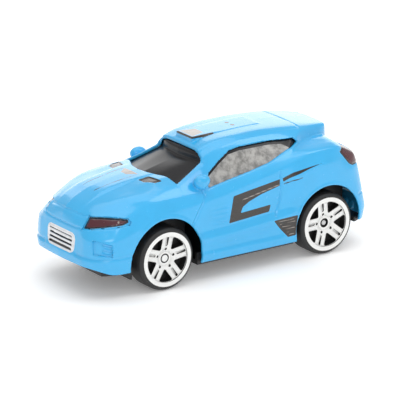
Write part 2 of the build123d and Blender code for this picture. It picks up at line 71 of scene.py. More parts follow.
def smooth_curve(*points):
    """A function through (place, value) points, with no overshoot, and straight on past both ends."""
    place, value = np.array(points, float).T
    step = np.diff(place)
    rise = np.diff(value) / step
    slope = np.zeros(len(place))
    slope[0], slope[-1] = rise[0], rise[-1]
    before, after = rise[:-1], rise[1:]
    same_way = before * after > 0
    weight_before = (2 * step[1:] + step[:-1])[same_way]
    weight_after = (step[1:] + 2 * step[:-1])[same_way]
    blend = weight_before / before[same_way] + weight_after / after[same_way]
    slope[1:-1][same_way] = (weight_before + weight_after) / blend

    def curve(at):
        inside = np.clip(at, place[0], place[-1])
        i = np.clip(np.searchsorted(place, inside, side="right") - 1, 0, len(step) - 1)
        s = (inside - place[i]) / step[i]
        level = (1 + 2 * s) * (1 - s) ** 2 * value[i] + s * s * (3 - 2 * s) * value[i + 1]
        lean = s * (1 - s) ** 2 * slope[i] + s * s * (s - 1) * slope[i + 1]
        past = (at > place[-1]) * slope[-1] * (at - place[-1])
        return level + step[i] * lean + past + (at < place[0]) * slope[0] * (at - place[0])

    return curve


def at(curve, where):
    """A curve's value, or a plain number as it is."""
    return curve(where) if callable(curve) else curve


def ramp(t, rounding):
    """0 before t = 0, t itself up to 1, and 1 after that, with both corners rounded."""
    return (t + np.hypot(t, rounding) - (t - 1) - np.hypot(t - 1, rounding)) / 2


def stepped(t, knots, radius):
    """The line through (place, value) knots, level at both ends, with its corners rounded."""
    total = knots[0][1]
    for (start, low), (end, high) in zip(knots, knots[1:]):
        total = total + (high - low) * ramp((t - start) / (end - start), radius / (end - start))
    return total


def bump(t):
    """1 at t = 0, and soon nothing on both sides of it."""
    return np.exp(-t * t)


def step_up(t):
    """0 up to t = 0 and 1 from t = 1, with an even curve in between."""
    t = np.clip(t, 0, 1)
    return t * t * (3 - 2 * t)


def join(a, b, radius):
    """Both shapes together, with a fillet between them."""
    return (a + b - np.sqrt((a - b) ** 2 + radius * radius)) / 2


def both(a, b, radius):
    """What two shapes share, with a rounded edge between them."""
    return -join(-a, -b, radius)


def outline_distance(u, v, points):
    """The distance from (u, v) to a closed outline, negative inside it."""
    nearest = np.full(np.broadcast(u, v).shape, 1e9)
    inside = np.zeros(nearest.shape, bool)
    for (u0, v0), (u1, v1) in zip(points, points[1:] + points[:1]):
        du, dv = u1 - u0, v1 - v0
        share = np.clip(((u - u0) * du + (v - v0) * dv) / (du * du + dv * dv), 0, 1)
        nearest = np.minimum(nearest, np.hypot(u - u0 - share * du, v - v0 - share * dv))
        if dv:
            inside ^= ((v0 <= v) != (v1 <= v)) & (u < u0 + (v - v0) * du / dv)
    return np.where(inside, -nearest, nearest)


def line_distance(u, v, points):
    """The distance from (u, v) to an open line."""
    nearest = np.full(np.broadcast(u, v).shape, 1e9)
    for (u0, v0), (u1, v1) in zip(points, points[1:]):
        du, dv = u1 - u0, v1 - v0
        share = np.clip(((u - u0) * du + (v - v0) * dv) / (du * du + dv * dv), 0, 1)
        nearest = np.minimum(nearest, np.hypot(u - u0 - share * du, v - v0 - share * dv))
    return nearest


def groove(u, v, points, width, depth):
    """How deep a moulded line lies at (u, v)."""
    return depth * bump(line_distance(u, v, points) / (width / 2))


# ---- The body's outer form ----

# Height and half-width of each line along the side, as functions of y, from the sill to the roof
RIDGE_Z = smooth_curve((-40, 15.0), (-9.2, 14.7), (13.1, 16.0), (24.3, 16.9), (45, 16.0))
DOOR_X = smooth_curve(
    (-24, 21.35), (-15, 20.8), (-8, 20.35), (16, 20.35), (20, 20.6), (26, 21.25), (45, 21.2),
)
BELT_Z = smooth_curve(
    (-50, 23.5), (-30, 26.0), (-7.5, 27.5), (1.5, 29.2), (17.4, 32.4), (25.5, 34.4), (33.5, 36.2), (45, 36.4),
)
BELT_X = smooth_curve((-45, 20.7), (-30, 20.7), (-7.5, 20.3), (17.4, 20.2), (33.5, 19.9), (45, 19.2))
WAIST_Z = smooth_curve(
    (-50, 27.5), (-30, 30.0), (-18, 30.0), (-9.4, 30.4), (-1.2, 31.8), (6.8, 33.2), (14.7, 34.7),
    (23.7, 37.2), (32, 38.8), (45, 38.8),
)
WAIST_X = smooth_curve(
    (-45, 18.4), (-30, 19.0), (-9.4, 18.6), (14.7, 18.3), (23.7, 17.4), (33, 17.4), (45, 16.6),
)
EAVES_Z = smooth_curve(
    (-45, 33.5), (-30, 34.5), (-20, 36.5), (-10, 38.2), (-6, 40.2), (2, 42.0), (8, 42.6), (20, 42.6),
    (31, 42.0), (38, 41.2), (45, 40.2), (60, 39.8),
)
EAVES_X = smooth_curve(
    (-45, 15.0), (-30, 15.0), (-20, 13.6), (-8, 12.4), (0, 12.2), (31, 11.9), (38, 10.9), (45, 9.4),
)
SILL_X = smooth_curve(
    (-45, 21.4), (-24, 21.4), (-12, 20.95), (12, 20.75), (17.5, 20.8), (20, 21.3), (45, 21.3),
)

SIDE_LINES = [
    (6.7, 21.1),
    (8.8, 21.5),
    (9.5, 21.4),
    (10.3, SILL_X),
    (lambda y: RIDGE_Z(y) - 3.0, SILL_X),
    (lambda y: RIDGE_Z(y) - 0.5, 21.55),
    (lambda y: RIDGE_Z(y) + 0.2, 21.5),
    (lambda y: RIDGE_Z(y) + 2.2, DOOR_X),
    (lambda y: BELT_Z(y) - 5.0, DOOR_X),
    (BELT_Z, BELT_X),
    (WAIST_Z, WAIST_X),
    (EAVES_Z, EAVES_X),
    (lambda y: EAVES_Z(y) + 1.0, lambda y: EAVES_X(y) - 1.8),
]
SIDE_ROUNDING = 0.5

FRONT_ARCH = (FRONT_AXLE[1] - 0.15, FRONT_AXLE[2] - 0.2, 13.7)
REAR_ARCH = (REAR_AXLE[1] + 0.75, REAR_AXLE[2] - 0.2, 13.3)

FRONT_DOOR_LINE = [(-12.3, 31.1), (-11.6, 28.6), (-14.3, 24.7), (-17.4, 20.2)]
REAR_DOOR_LINE = [(17.7, 31.6), (18.1, 27.6), (17.4, 22.2), (15.6, 17.4)]
QUARTER_LINE = [(50.0, 26.6), (48.0, 22.0)]


def arch_distance(y, z, arch):
    return np.hypot(y - arch[0], z - arch[1]) - arch[2]


DOOR_LINE_WIDTH, DOOR_LINE_DEPTH = 0.75, 0.35
QUARTER_LINE_WIDTH, QUARTER_LINE_DEPTH = 0.7, 0.15
ARCH_LIP_PLACE, ARCH_LIP_WIDTH, ARCH_LIP_HEIGHT = 0.55, 0.6, 0.22
RIB_SPACING, RIB_HEIGHT = 1.7, 0.07


def side_relief(y, z):
    """How far the side is moulded inwards at a point."""
    depth = groove(y, z, FRONT_DOOR_LINE, DOOR_LINE_WIDTH, DOOR_LINE_DEPTH)
    depth = depth + groove(y, z, REAR_DOOR_LINE, DOOR_LINE_WIDTH, DOOR_LINE_DEPTH)
    depth = depth + groove(y, z, QUARTER_LINE, QUARTER_LINE_WIDTH, QUARTER_LINE_DEPTH)
    for arch in (FRONT_ARCH, REAR_ARCH):
        past_lip = arch_distance(y, z, arch) - ARCH_LIP_PLACE
        depth = depth - ARCH_LIP_HEIGHT * bump(past_lip / ARCH_LIP_WIDTH)
    # Faint ribs on the door's front half fade out at their four sides.
    along = step_up((y + 11) / 4) * step_up((1 - y) / 6)
    upward = step_up((z - 17) / 2) * step_up((26 - z) / 3)
    return depth + RIB_HEIGHT * along * upward * np.cos(z * math.tau / RIB_SPACING)


def side_x(y, z):
    """The body's half-width at a point of its side."""
    knots = [(at(line_z, y), at(line_x, y)) for line_z, line_x in SIDE_LINES]
    return stepped(z, knots, SIDE_ROUNDING) - side_relief(y, z)


# The nose and the tail, as plan curves from the middle outwards at several heights
NOSE_ROWS = [
    (8.5, smooth_curve((0, -54.4), (12, -53.8), (16, -52.0), (18.7, -49.2), (20.4, -45.5), (21.2, -40.0))),
    (11.0, smooth_curve((0, -55.2), (12, -54.6), (16, -53.2), (19.0, -50.3), (20.8, -46.0), (21.4, -40.0))),
    (13.5, smooth_curve((0, -55.5), (12, -55.0), (16, -53.6), (19.2, -50.6), (21.0, -46.0), (21.5, -40.0))),
    (14.6, smooth_curve((0, -54.6), (12, -54.4), (16, -53.2), (19.3, -50.4), (21.0, -46.4), (21.5, -40.5))),
    (20.5, smooth_curve((0, -54.1), (12, -54.0), (16.5, -52.6), (19.5, -49.6), (21.0, -46.0), (21.4, -41.0))),
    (23.0, smooth_curve((0, -54.0), (9, -53.9), (12, -53.2), (16, -50.2), (19.5, -45.8), (21.0, -41.0))),
    (26.3, smooth_curve(
        (0, -53.5), (6, -52.9), (9, -52.0), (12, -51.0), (16, -47.0), (19.5, -42.0), (20.9, -38.0),
    )),
    (28.0, smooth_curve((0, -52.4), (9, -50.2), (12, -48.4), (16, -44.0), (19, -39.5))),
    (30.0, smooth_curve((0, -50.0), (9, -47.8), (12, -45.6), (16, -40.0), (18.5, -35.0))),
    (32.0, smooth_curve((0, -45.0), (9, -43.0), (12, -41.0), (14.5, -38.5))),
]
TAIL_ROWS = [
    (8.8, smooth_curve((0, 54.9), (14, 54.7), (17.5, 53.4), (19.8, 50.5), (21.0, 46.0))),
    (13.0, smooth_curve((0, 55.5), (14, 55.4), (17.5, 54.4), (19.9, 51.8), (21.2, 47.5))),
    (20.0, smooth_curve((0, 54.6), (13, 54.4), (17.3, 53.0), (20.0, 49.8), (21.3, 45.0))),
    (27.0, smooth_curve((0, 53.2), (13, 52.9), (17, 51.6), (19.6, 48.2), (21.0, 43.5))),
    (31.0, smooth_curve((0, 52.4), (13, 52.0), (16.6, 50.6), (19.0, 46.5), (20.4, 42.0))),
    (34.0, smooth_curve((0, 51.5), (13, 50.8), (16.6, 48.5), (18.6, 44.0))),
]
END_ROUNDING = 0.7


def end_distance(x, y, z, rows, facing):
    """About the distance past the nose (facing -1) or the tail (facing 1)."""
    reach = 0.3

    def end_y(x):
        return stepped(z, [(row_z, row(x)) for row_z, row in rows], END_ROUNDING)

    lean = (end_y(x + reach) - end_y(x - reach)) / (2 * reach)
    return facing * (y - end_y(x)) / np.hypot(1, lean)


# The bonnet: its middle line, and how far it lies below that at distances from the middle
BONNET_Z = smooth_curve(
    (-56, 26.5), (-50, 29.9), (-47, 31.3), (-43.3, 32.6), (-36, 34.0), (-27.8, 35.0), (-18, 35.6),
)
VALLEY_DROP = smooth_curve((-50, 1.2), (-44, 1.5), (-36, 1.4), (-30, 0.9), (-26, 0.7), (-18, 0.7))
CREST_X = smooth_curve((-50, 13.6), (-44, 14.0), (-37.6, 14.6), (-30.8, 16.1), (-18, 16.1))
CREST_DROP = smooth_curve((-50, 1.7), (-44, 1.5), (-37.6, 1.6), (-30.8, 2.1), (-18, 2.3))
BONNET_ROUNDING = 0.5

# The windscreen runs from the cowl line up to the roof's front lip.
COWL_Y = smooth_curve((0, -24.4), (5, -23.4), (10, -20.8), (15.2, -19.8), (20, -19.4))
COWL_Z = smooth_curve((0, 34.8), (5, 34.5), (10, 34.1), (15.2, 33.4), (20, 33.0))
LIP_Y = smooth_curve((0, -10.3), (6, -10.0), (12.2, -8.7), (16, -7.5))
LIP_Z = smooth_curve((0, 38.0), (6, 38.1), (12, 37.8), (16, 37.0))
SCREEN_RUN_ON = 1.1

HATCH_Z = smooth_curve(
    (20, 46.0), (30, 41.6), (41.3, 38.2), (45, 36.0), (48.4, 34.0), (51.7, 32.4), (56, 30.0),
)
HATCH_DROP = smooth_curve((0, 0), (8, 0.05), (13, 0.4), (17, 1.0), (21, 3.0))
HATCH_FILLET = 0.6

ROOF_Z = smooth_curve(
    (-10.5, 40.8), (-7, 42.0), (-3, 43.1), (3, 43.8), (8, 44.0), (15, 44.1), (23, 43.8), (31, 43.2),
    (38, 42.2), (45, 41.0),
)
CROWN = smooth_curve((0, 0), (8, 0.15), (11.3, 0.5), (14, 2.0), (18, 6.0))
ROOF_FRONT_ROUNDING, ROOF_ROUNDING = 0.7, 0.5
SPOILER_Y = smooth_curve((0, 45.0), (7.6, 44.8), (8.6, 43.8), (10, 41.0))
SPOILER_SIDE = smooth_curve((26, 15.0), (31, 12.2), (38, 9.9), (44.8, 8.0))
SPOILER_FLARE = 0.25

ROOF_SEAM = [(11.3, -4.0), (11.4, 10.0), (11.3, 31.3), (0.0, 31.3)]
ROOF_SEAM_WIDTH, ROOF_SEAM_DEPTH = 0.65, 0.25


def bonnet_z(x, y):
    """A raised middle panel, a valley beside it, and a crest above each wheel."""
    drop = [
        (0.0, 0.0), (6.4, 0.2), (7.0, 0.6 * VALLEY_DROP(y)), (11.5, VALLEY_DROP(y)),
        (CREST_X(y), CREST_DROP(y)), (CREST_X(y) + 2.3, CREST_DROP(y) + 1.3),
        (CREST_X(y) + 6.0, CREST_DROP(y) + 5.5),
    ]
    return BONNET_Z(y) - stepped(x, drop, BONNET_ROUNDING)


def lower_z(x, y):
    """The top of the bonnet, the windscreen's slope and the hatch."""
    up_screen = np.minimum((y - COWL_Y(x)) / (LIP_Y(x) - COWL_Y(x)), SCREEN_RUN_ON)
    screen = COWL_Z(x) + (LIP_Z(x) - COWL_Z(x)) * up_screen
    front = bonnet_z(x, y)
    front = front + (screen - front) * step_up(y - COWL_Y(x) + 0.5)
    return join(front, HATCH_Z(y) - HATCH_DROP(x), HATCH_FILLET)


def roof_block(x, y, z):
    """The roof panel with its front lip and its spoiler."""
    roof = ROOF_Z(y) - CROWN(x) - groove(x, y, ROOF_SEAM, ROOF_SEAM_WIDTH, ROOF_SEAM_DEPTH)
    block = both(z - roof, LIP_Y(x) - y, ROOF_FRONT_ROUNDING)
    block = both(block, y - SPOILER_Y(x), ROOF_ROUNDING)
    return both(block, x - SPOILER_SIDE(y) - SPOILER_FLARE * (ROOF_Z(y) - z), ROOF_ROUNDING)


SCOOP_FRONT_Y = -6.6
SCOOP_REAR_Y = 20.0
SCOOP_HALF_WIDTH = 4.6
SCOOP_TOP_Z = 43.85
SCOOP_SLOPE = 0.01
SCOOP_ROUNDING = 0.2


def roof_scoop(x, y, z):
    """A raised air intake with a nearly level top, cut off square at its front and its rear."""
    top = z - SCOOP_TOP_Z - SCOOP_SLOPE * (y - SCOOP_FRONT_Y)
    block = both(top, SCOOP_FRONT_Y - y, SCOOP_ROUNDING)
    block = both(block, x - SCOOP_HALF_WIDTH, SCOOP_ROUNDING)
    return both(block, y - SCOOP_REAR_Y, SCOOP_ROUNDING)


def egg(x, y, z, centre, radii):
    """Negative inside an egg with three radii, as a share of its size."""
    parts = zip((x, y, z), centre, radii)
    return np.sqrt(sum(((place - middle) / radius) ** 2 for place, middle, radius in parts)) - 1


MIRROR_CENTRE, MIRROR_RADII = (18.5, -12.2, 33.6), (1.9, 2.9, 2.1)
STALK_CENTRE, STALK_RADII = (17.8, -12.3, 32.2), (2.2, 1.5, 1.3)
MIRROR_SIZE, STALK_SIZE = 2.2, 1.5
MIRROR_FILLET = 0.6


def door_mirror(x, y, z):
    ear = egg(x, y, z, MIRROR_CENTRE, MIRROR_RADII) * MIRROR_SIZE
    stalk = egg(x, y, z, STALK_CENTRE, STALK_RADII) * STALK_SIZE
    return join(ear, stalk, MIRROR_FILLET)


# The headlights and the tail lights are outlined on upright planes turned by an eighth of a turn.
def front_corner(x, y):
    return (x + y) / math.sqrt(2)


def rear_corner(x, y):
    return (y - x) / math.sqrt(2)


GRILLE = [
    (-7.8, 18.8), (-7.3, 20.0), (-6.2, 20.4), (6.2, 20.4), (7.3, 20.0), (7.8, 18.8), (7.6, 15.9),
    (7.1, 14.8), (6.0, 14.3), (-6.0, 14.3), (-7.1, 14.8), (-7.6, 15.9),
]
GRILLE_RISE = 0.35
GRILLE_FRAME_WIDTH, GRILLE_FRAME_RISE = 0.9, 0.25
GRILLE_SLOTS_Z = (19.3, 17.9, 16.5, 15.1)
GRILLE_SLOT_HALF_WIDTH, GRILLE_SLOT_HALF_HEIGHT, GRILLE_SLOT_DEPTH = 6.3, 0.32, 0.7

HEADLIGHT = [
    (-29.2, 23.2), (-27.8, 26.2), (-24.3, 26.4), (-17.9, 26.2), (-15.9, 25.8), (-15.7, 25.2),
    (-17.1, 24.6), (-20.8, 24.2),
]
HEADLIGHT_RISE = 0.35
HEADLIGHT_RECESS = [
    (-30.4, 22.5), (-28.3, 26.9), (-21.2, 27.1), (-15.6, 26.6), (-14.3, 25.4), (-14.5, 24.2),
    (-19.2, 23.6), (-24.0, 23.2),
]
HEADLIGHT_RECESS_DEPTH, HEADLIGHT_RECESS_SLOPE = 1.0, 0.5

NOSE_SEAMS = [
    [(0, 27.0), (5.0, 26.85), (8.8, 26.4), (10.4, 26.8)],
    [(0, 22.8), (5.0, 22.8), (10.0, 23.1)],
]
NOSE_SEAM_WIDTH, NOSE_SEAM_DEPTH = 0.7, 0.35
LIP_TOP_Z, LIP_GROOVE_WIDTH, LIP_GROOVE_DEPTH, LIP_GROOVE_START_X = 14.2, 0.5, 0.4, 8.4
FOG_POCKET = [
    (-26.0, 20.5), (-22.2, 19.9), (-19.4, 19.1), (-19.4, 14.9), (-22.2, 15.3), (-25.8, 15.5),
]
FOG_POCKET_DEPTH = 0.7
FOG_FINS = [[(-22.3, 18.5), (-19.4, 17.8)], [(-22.3, 16.8), (-19.4, 16.2)]]
FOG_FIN_WIDTH, FOG_FIN_HEIGHT = 0.8, 0.6
NOSE_RELIEF_Y = -38

BONNET_VENT = [(7.4, -29.5), (7.5, -25.3), (12.6, -23.7), (12.6, -26.5), (10.2, -29.0)]
BONNET_VENT_DEPTH = 0.35
ABOVE_SIDES_Z = 30

TAIL_LIGHT = [
    (16.8, 33.8), (19.5, 34.9), (25.2, 34.0), (26.2, 31.5), (25.4, 28.3), (20.4, 28.6), (19.0, 29.6),
    (17.8, 31.8),
]
TAIL_LIGHT_EDGE_WIDTH, TAIL_LIGHT_EDGE_DEPTH = 0.6, 0.25
PLATE_RECESS = [(-6.5, 22.4), (6.5, 22.4), (6.0, 18.0), (-6.0, 18.0)]
PLATE_RECESS_DEPTH = 0.6
TAIL_SEAMS = [
    [(0, 16.2), (11.5, 16.2), (13.5, 18.2), (19.5, 18.2)],
    [(0, 32.6), (9.5, 32.4), (11.2, 27.0), (9.8, 23.6), (0, 23.6)],
]
TAIL_SEAM_WIDTH, TAIL_SEAM_DEPTH = 0.7, 0.3
EXHAUST_X, EXHAUST_Z, EXHAUST_RADIUS = (7.6, 10.8), 11.4, 1.5
EXHAUST_DEPTH, EXHAUST_SLOPE = 0.8, 0.3
TAIL_RELIEF_Y = 40


def sunk(distance, depth, slope=0.35):
    """A pocket of this depth inside an outline, with a sloping edge."""
    return depth * step_up(-distance / slope)


def slot_distance(x, z):
    """The distance to the nearest grille slot."""
    lines = [[(0, slot_z), (GRILLE_SLOT_HALF_WIDTH, slot_z)] for slot_z in GRILLE_SLOTS_Z]
    slots = [line_distance(x, z, line) for line in lines]
    return np.minimum.reduce(slots) - GRILLE_SLOT_HALF_HEIGHT


def nose_relief(x, y, z):
    """How far the nose is moulded inwards at a point."""
    if np.min(y) > NOSE_RELIEF_Y:
        return 0.0
    corner = front_corner(x, y)
    grille = outline_distance(x, z, GRILLE)
    depth = sunk(slot_distance(x, z), GRILLE_SLOT_DEPTH, 0.2) - sunk(grille, GRILLE_RISE)
    depth = depth + sunk(grille + GRILLE_FRAME_WIDTH, GRILLE_FRAME_RISE)
    recess = outline_distance(corner, z, HEADLIGHT_RECESS)
    depth = depth + sunk(recess, HEADLIGHT_RECESS_DEPTH, HEADLIGHT_RECESS_SLOPE)
    depth = depth - sunk(outline_distance(corner, z, HEADLIGHT), HEADLIGHT_RISE)
    for seam in NOSE_SEAMS:
        depth = depth + groove(x, z, seam, NOSE_SEAM_WIDTH, NOSE_SEAM_DEPTH)
    lip_groove = LIP_GROOVE_DEPTH * bump((z - LIP_TOP_Z) / LIP_GROOVE_WIDTH)
    depth = depth + lip_groove * step_up(x - LIP_GROOVE_START_X)
    depth = depth + sunk(outline_distance(corner, z, FOG_POCKET), FOG_POCKET_DEPTH)
    for fin in FOG_FINS:
        depth = depth - groove(corner, z, fin, FOG_FIN_WIDTH, FOG_FIN_HEIGHT)
    return depth * (y < NOSE_RELIEF_Y)


def bonnet_relief(x, y, z):
    return sunk(outline_distance(x, y, BONNET_VENT), BONNET_VENT_DEPTH) * (z > ABOVE_SIDES_Z)


def tail_relief(x, y, z):
    """How far the tail is moulded inwards at a point."""
    if np.max(y) < TAIL_RELIEF_Y:
        return 0.0
    light_edge = TAIL_LIGHT + TAIL_LIGHT[:1]
    depth = groove(rear_corner(x, y), z, light_edge, TAIL_LIGHT_EDGE_WIDTH, TAIL_LIGHT_EDGE_DEPTH)
    depth = depth + sunk(outline_distance(x, z, PLATE_RECESS), PLATE_RECESS_DEPTH)
    for seam in TAIL_SEAMS:
        depth = depth + groove(x, z, seam, TAIL_SEAM_WIDTH, TAIL_SEAM_DEPTH)
    for pipe_x in EXHAUST_X:
        pipe = np.hypot(x - pipe_x, z - EXHAUST_Z) - EXHAUST_RADIUS
        depth = depth + sunk(pipe, EXHAUST_DEPTH, EXHAUST_SLOPE)
    return depth * (y > TAIL_RELIEF_Y)


ROOF_FILLET, SCOOP_FILLET = 0.4, 0.3
SHOULDER_ROUNDING, CORNER_ROUNDING = 0.7, 0.9


def outer_form(x, y, z):
    """Negative inside the car's outer form and roughly the distance to it in millimetres."""
    form = join(z - lower_z(x, y), roof_block(x, y, z), ROOF_FILLET)
    form = join(form, roof_scoop(x, y, z), SCOOP_FILLET)
    form = both(form, x - side_x(y, z), SHOULDER_ROUNDING)
    form = both(form, end_distance(x, y, z, NOSE_ROWS, -1), CORNER_ROUNDING)
    form = both(form, end_distance(x, y, z, TAIL_ROWS, 1), CORNER_ROUNDING)
    return form + nose_relief(x, y, z) + bonnet_relief(x, y, z) + tail_relief(x, y, z)


# ---- The body shell: openings and wall ----

WALL = 1.2
EDGE_ROUNDING = 0.2
SIDE_WINDOW = [
    (-9.4, 30.4), (-1.2, 31.9), (6.8, 33.2), (14.7, 34.7), (22.7, 37.3), (28.4, 38.7), (26.7, 40.1),
    (17.9, 40.5), (5.9, 40.5), (2.0, 39.9), (-2.8, 37.5), (-7.5, 34.6),
]
WINDSCREEN = [
    (-15.2, -19.8), (-10.0, -20.8), (-5.0, -23.4), (0.0, -24.4), (5.0, -23.4), (10.0, -20.8), (15.2, -19.8),
    (11.9, -8.0), (-11.9, -8.0),
]
REAR_WINDOW = [(-11.3, 46.2), (11.3, 46.2), (12.4, 49.2), (-12.4, 49.2)]
WAIST_CUT_Z = 31
ARCH_CUT_X = 8
SIDE_WINDOW_CUT_X = 9

SILL_BOTTOM_Z = 6.7
TAIL_BOTTOM_Z = 8.8
NOSE_BOTTOM_Z, NOSE_BOTTOM_RISE, NOSE_BOTTOM_Y, NOSE_BOTTOM_LENGTH = 8.5, 2.4, -46, 9


def bottom_z(y):
    """The shell's lower edge: bumpers higher than the sills."""
    front = NOSE_BOTTOM_Z + NOSE_BOTTOM_RISE * step_up((NOSE_BOTTOM_Y - y) / NOSE_BOTTOM_LENGTH)
    return np.where(y < FRONT_ARCH[0], front, np.where(y < REAR_ARCH[0], SILL_BOTTOM_Z, TAIL_BOTTOM_Z))


def openings(x, y, z):
    """Negative where the shell is cut away."""
    above_waist = WAIST_CUT_Z - z
    arches = [arch_distance(y, z, arch) for arch in (FRONT_ARCH, REAR_ARCH)]
    cuts = [both(arch, ARCH_CUT_X - x, EDGE_ROUNDING) for arch in arches]
    cuts.append(both(outline_distance(y, z, SIDE_WINDOW), SIDE_WINDOW_CUT_X - x, EDGE_ROUNDING))
    cuts.append(both(outline_distance(x, y, WINDSCREEN), above_waist, EDGE_ROUNDING))
    cuts.append(both(outline_distance(x, y, REAR_WINDOW), above_waist, EDGE_ROUNDING))
    everything = z - bottom_z(y)
    for cut in cuts:
        everything = join(everything, cut, EDGE_ROUNDING)
    return everything


CUT_EDGE_ROUNDING = 0.25
MIRROR_FOOT_FILLET = 0.5


def shell_form(x, y, z):
    x = np.abs(x)
    outer = outer_form(x, y, z)
    wall = both(outer, -(outer + WALL), EDGE_ROUNDING)
    wall = both(wall, -openings(x, y, z), CUT_EDGE_ROUNDING)
    return join(wall, door_mirror(x, y, z), MIRROR_FOOT_FILLET)


GLASS_DEPTH = 1.3
GLASS_WALL = 1.2
GLASS_BOTTOM_Z, GLASS_FRONT_Y, GLASS_REAR_Y = 29.6, -28.0, 50.4


def glass_form(x, y, z):
    """A sheet that follows the inside of the shell from the bonnet to the tail."""
    outer = outer_form(np.abs(x), y, z)
    sheet = both(outer + GLASS_DEPTH, -(outer + GLASS_DEPTH + GLASS_WALL), EDGE_ROUNDING)
    sheet = both(sheet, GLASS_BOTTOM_Z - z, EDGE_ROUNDING)
    sheet = both(sheet, GLASS_FRONT_Y - y, EDGE_ROUNDING)
    return both(sheet, y - GLASS_REAR_Y, EDGE_ROUNDING)


# ---- Meshes from forms ----


def gradient(form, points, level, reach=0.02):
    """The form's slope at points where its value is already known."""
    return np.stack([form(*(points + step).T) - level for step in np.eye(3) * reach], 1) / reach


def settle(form, points, passes=2, longest=0.25):
    """Moves points onto the surface where the form is zero."""
    for _ in range(passes):
        level = form(*points.T)
        slope = gradient(form, points, level)
        move = slope * (level / np.maximum((slope ** 2).sum(1), 0.04))[:, None]
        length = np.linalg.norm(move, axis=1, keepdims=True)
        points = points - move * np.minimum(1, longest / np.maximum(length, 1e-9))
    return points


SLAB = 16


def grid_values(form, axes):
    """The form over a whole grid, worked out a few layers at a time."""
    x, y, z = np.meshgrid(*axes, indexing="ij", sparse=True)
    slabs = [
        np.broadcast_to(form(x, y[:, i:i + SLAB], z), (x.size, y[:, i:i + SLAB].size, z.size))
        for i in range(0, y.size, SLAB)
    ]
    return np.concatenate(slabs, axis=1)


def surface_net(form, low, high, step):
    """An even net of four-sided faces on the surface where the form is zero."""
    axes = [np.arange(a, b + step, step) for a, b in zip(low, high)]
    values = grid_values(form, axes)
    size = values.shape
    stride = np.array([size[1] * size[2], size[2], 1])
    inside = values < 0
    rings, places = [], []
    for axis in range(3):
        first, second = [slice(None)] * 3, [slice(None)] * 3
        first[axis], second[axis] = slice(0, -1), slice(1, None)
        corner = np.argwhere(inside[tuple(first)] != inside[tuple(second)])
        b, c = (axis + 1) % 3, (axis + 2) % 3
        corner = corner[(corner[:, b] > 0) & (corner[:, c] > 0)]
        far = corner + np.eye(3, dtype=int)[axis]
        start, end = values[tuple(corner.T)], values[tuple(far.T)]
        place = corner.astype(float)
        place[:, axis] += start / (start - end)
        cell = corner @ stride
        ring = np.stack([cell, cell - stride[b], cell - stride[b] - stride[c], cell - stride[c]], 1)
        ring[start >= 0] = ring[start >= 0][:, ::-1]
        rings.append(ring)
        places.append(np.repeat(place, 4, axis=0))
    rings, places = np.concatenate(rings), np.concatenate(places)
    _, index, count = np.unique(rings.ravel(), return_inverse=True, return_counts=True)
    sums = [np.bincount(index.ravel(), weights=places[:, k]) for k in range(3)]
    points = np.stack(sums, 1) / count[:, None] * step + np.array(low)
    return settle(form, points), index.reshape(-1, 4)


def add_mesh(name, points, faces, normals=None):
    """A new mesh object from millimetres, smooth shaded."""
    mesh = bpy.data.meshes.new(name)
    mesh.from_pydata((np.asarray(points) * MM).tolist(), [], np.asarray(faces).tolist())
    mesh.shade_smooth()
    if normals is not None:
        mesh.normals_split_custom_set_from_vertices(normals.tolist())
    piece = bpy.data.objects.new(name, mesh)
    bpy.context.scene.collection.objects.link(piece)
    return piece


def form_piece(name, form, low, high, step):
    points, faces = surface_net(form, low, high, step)
    slope = gradient(form, points, form(*points.T))
    normals = slope / np.maximum(np.linalg.norm(slope, axis=1, keepdims=True), 1e-9)
    return add_mesh(name, points, faces, normals), points


# ---- Materials ----


def new_material(name, colour, roughness, **sockets):
    """A material with its shader's own settings; returns it with its node tree and shader."""
    made = bpy.data.materials.new(name)
    made.use_nodes = True
    shader = made.node_tree.nodes["Principled BSDF"]
    shader.inputs["Base Color"].default_value = (*colour, 1)
    shader.inputs["Roughness"].default_value = roughness
    for socket, value in sockets.items():
        shader.inputs[socket.replace("_", " ")].default_value = value
    return made, made.node_tree, shader


CLOUD_SIZE = 6
DARKEST_TINT, LIGHTEST_TINT, TINT_LIFT = 0.92, 1.06, 0.002
GLOSSIEST, DULLEST = 0.85, 1.2
BUMP_STRENGTH, BUMP_HEIGHT = 0.08, 0.0001


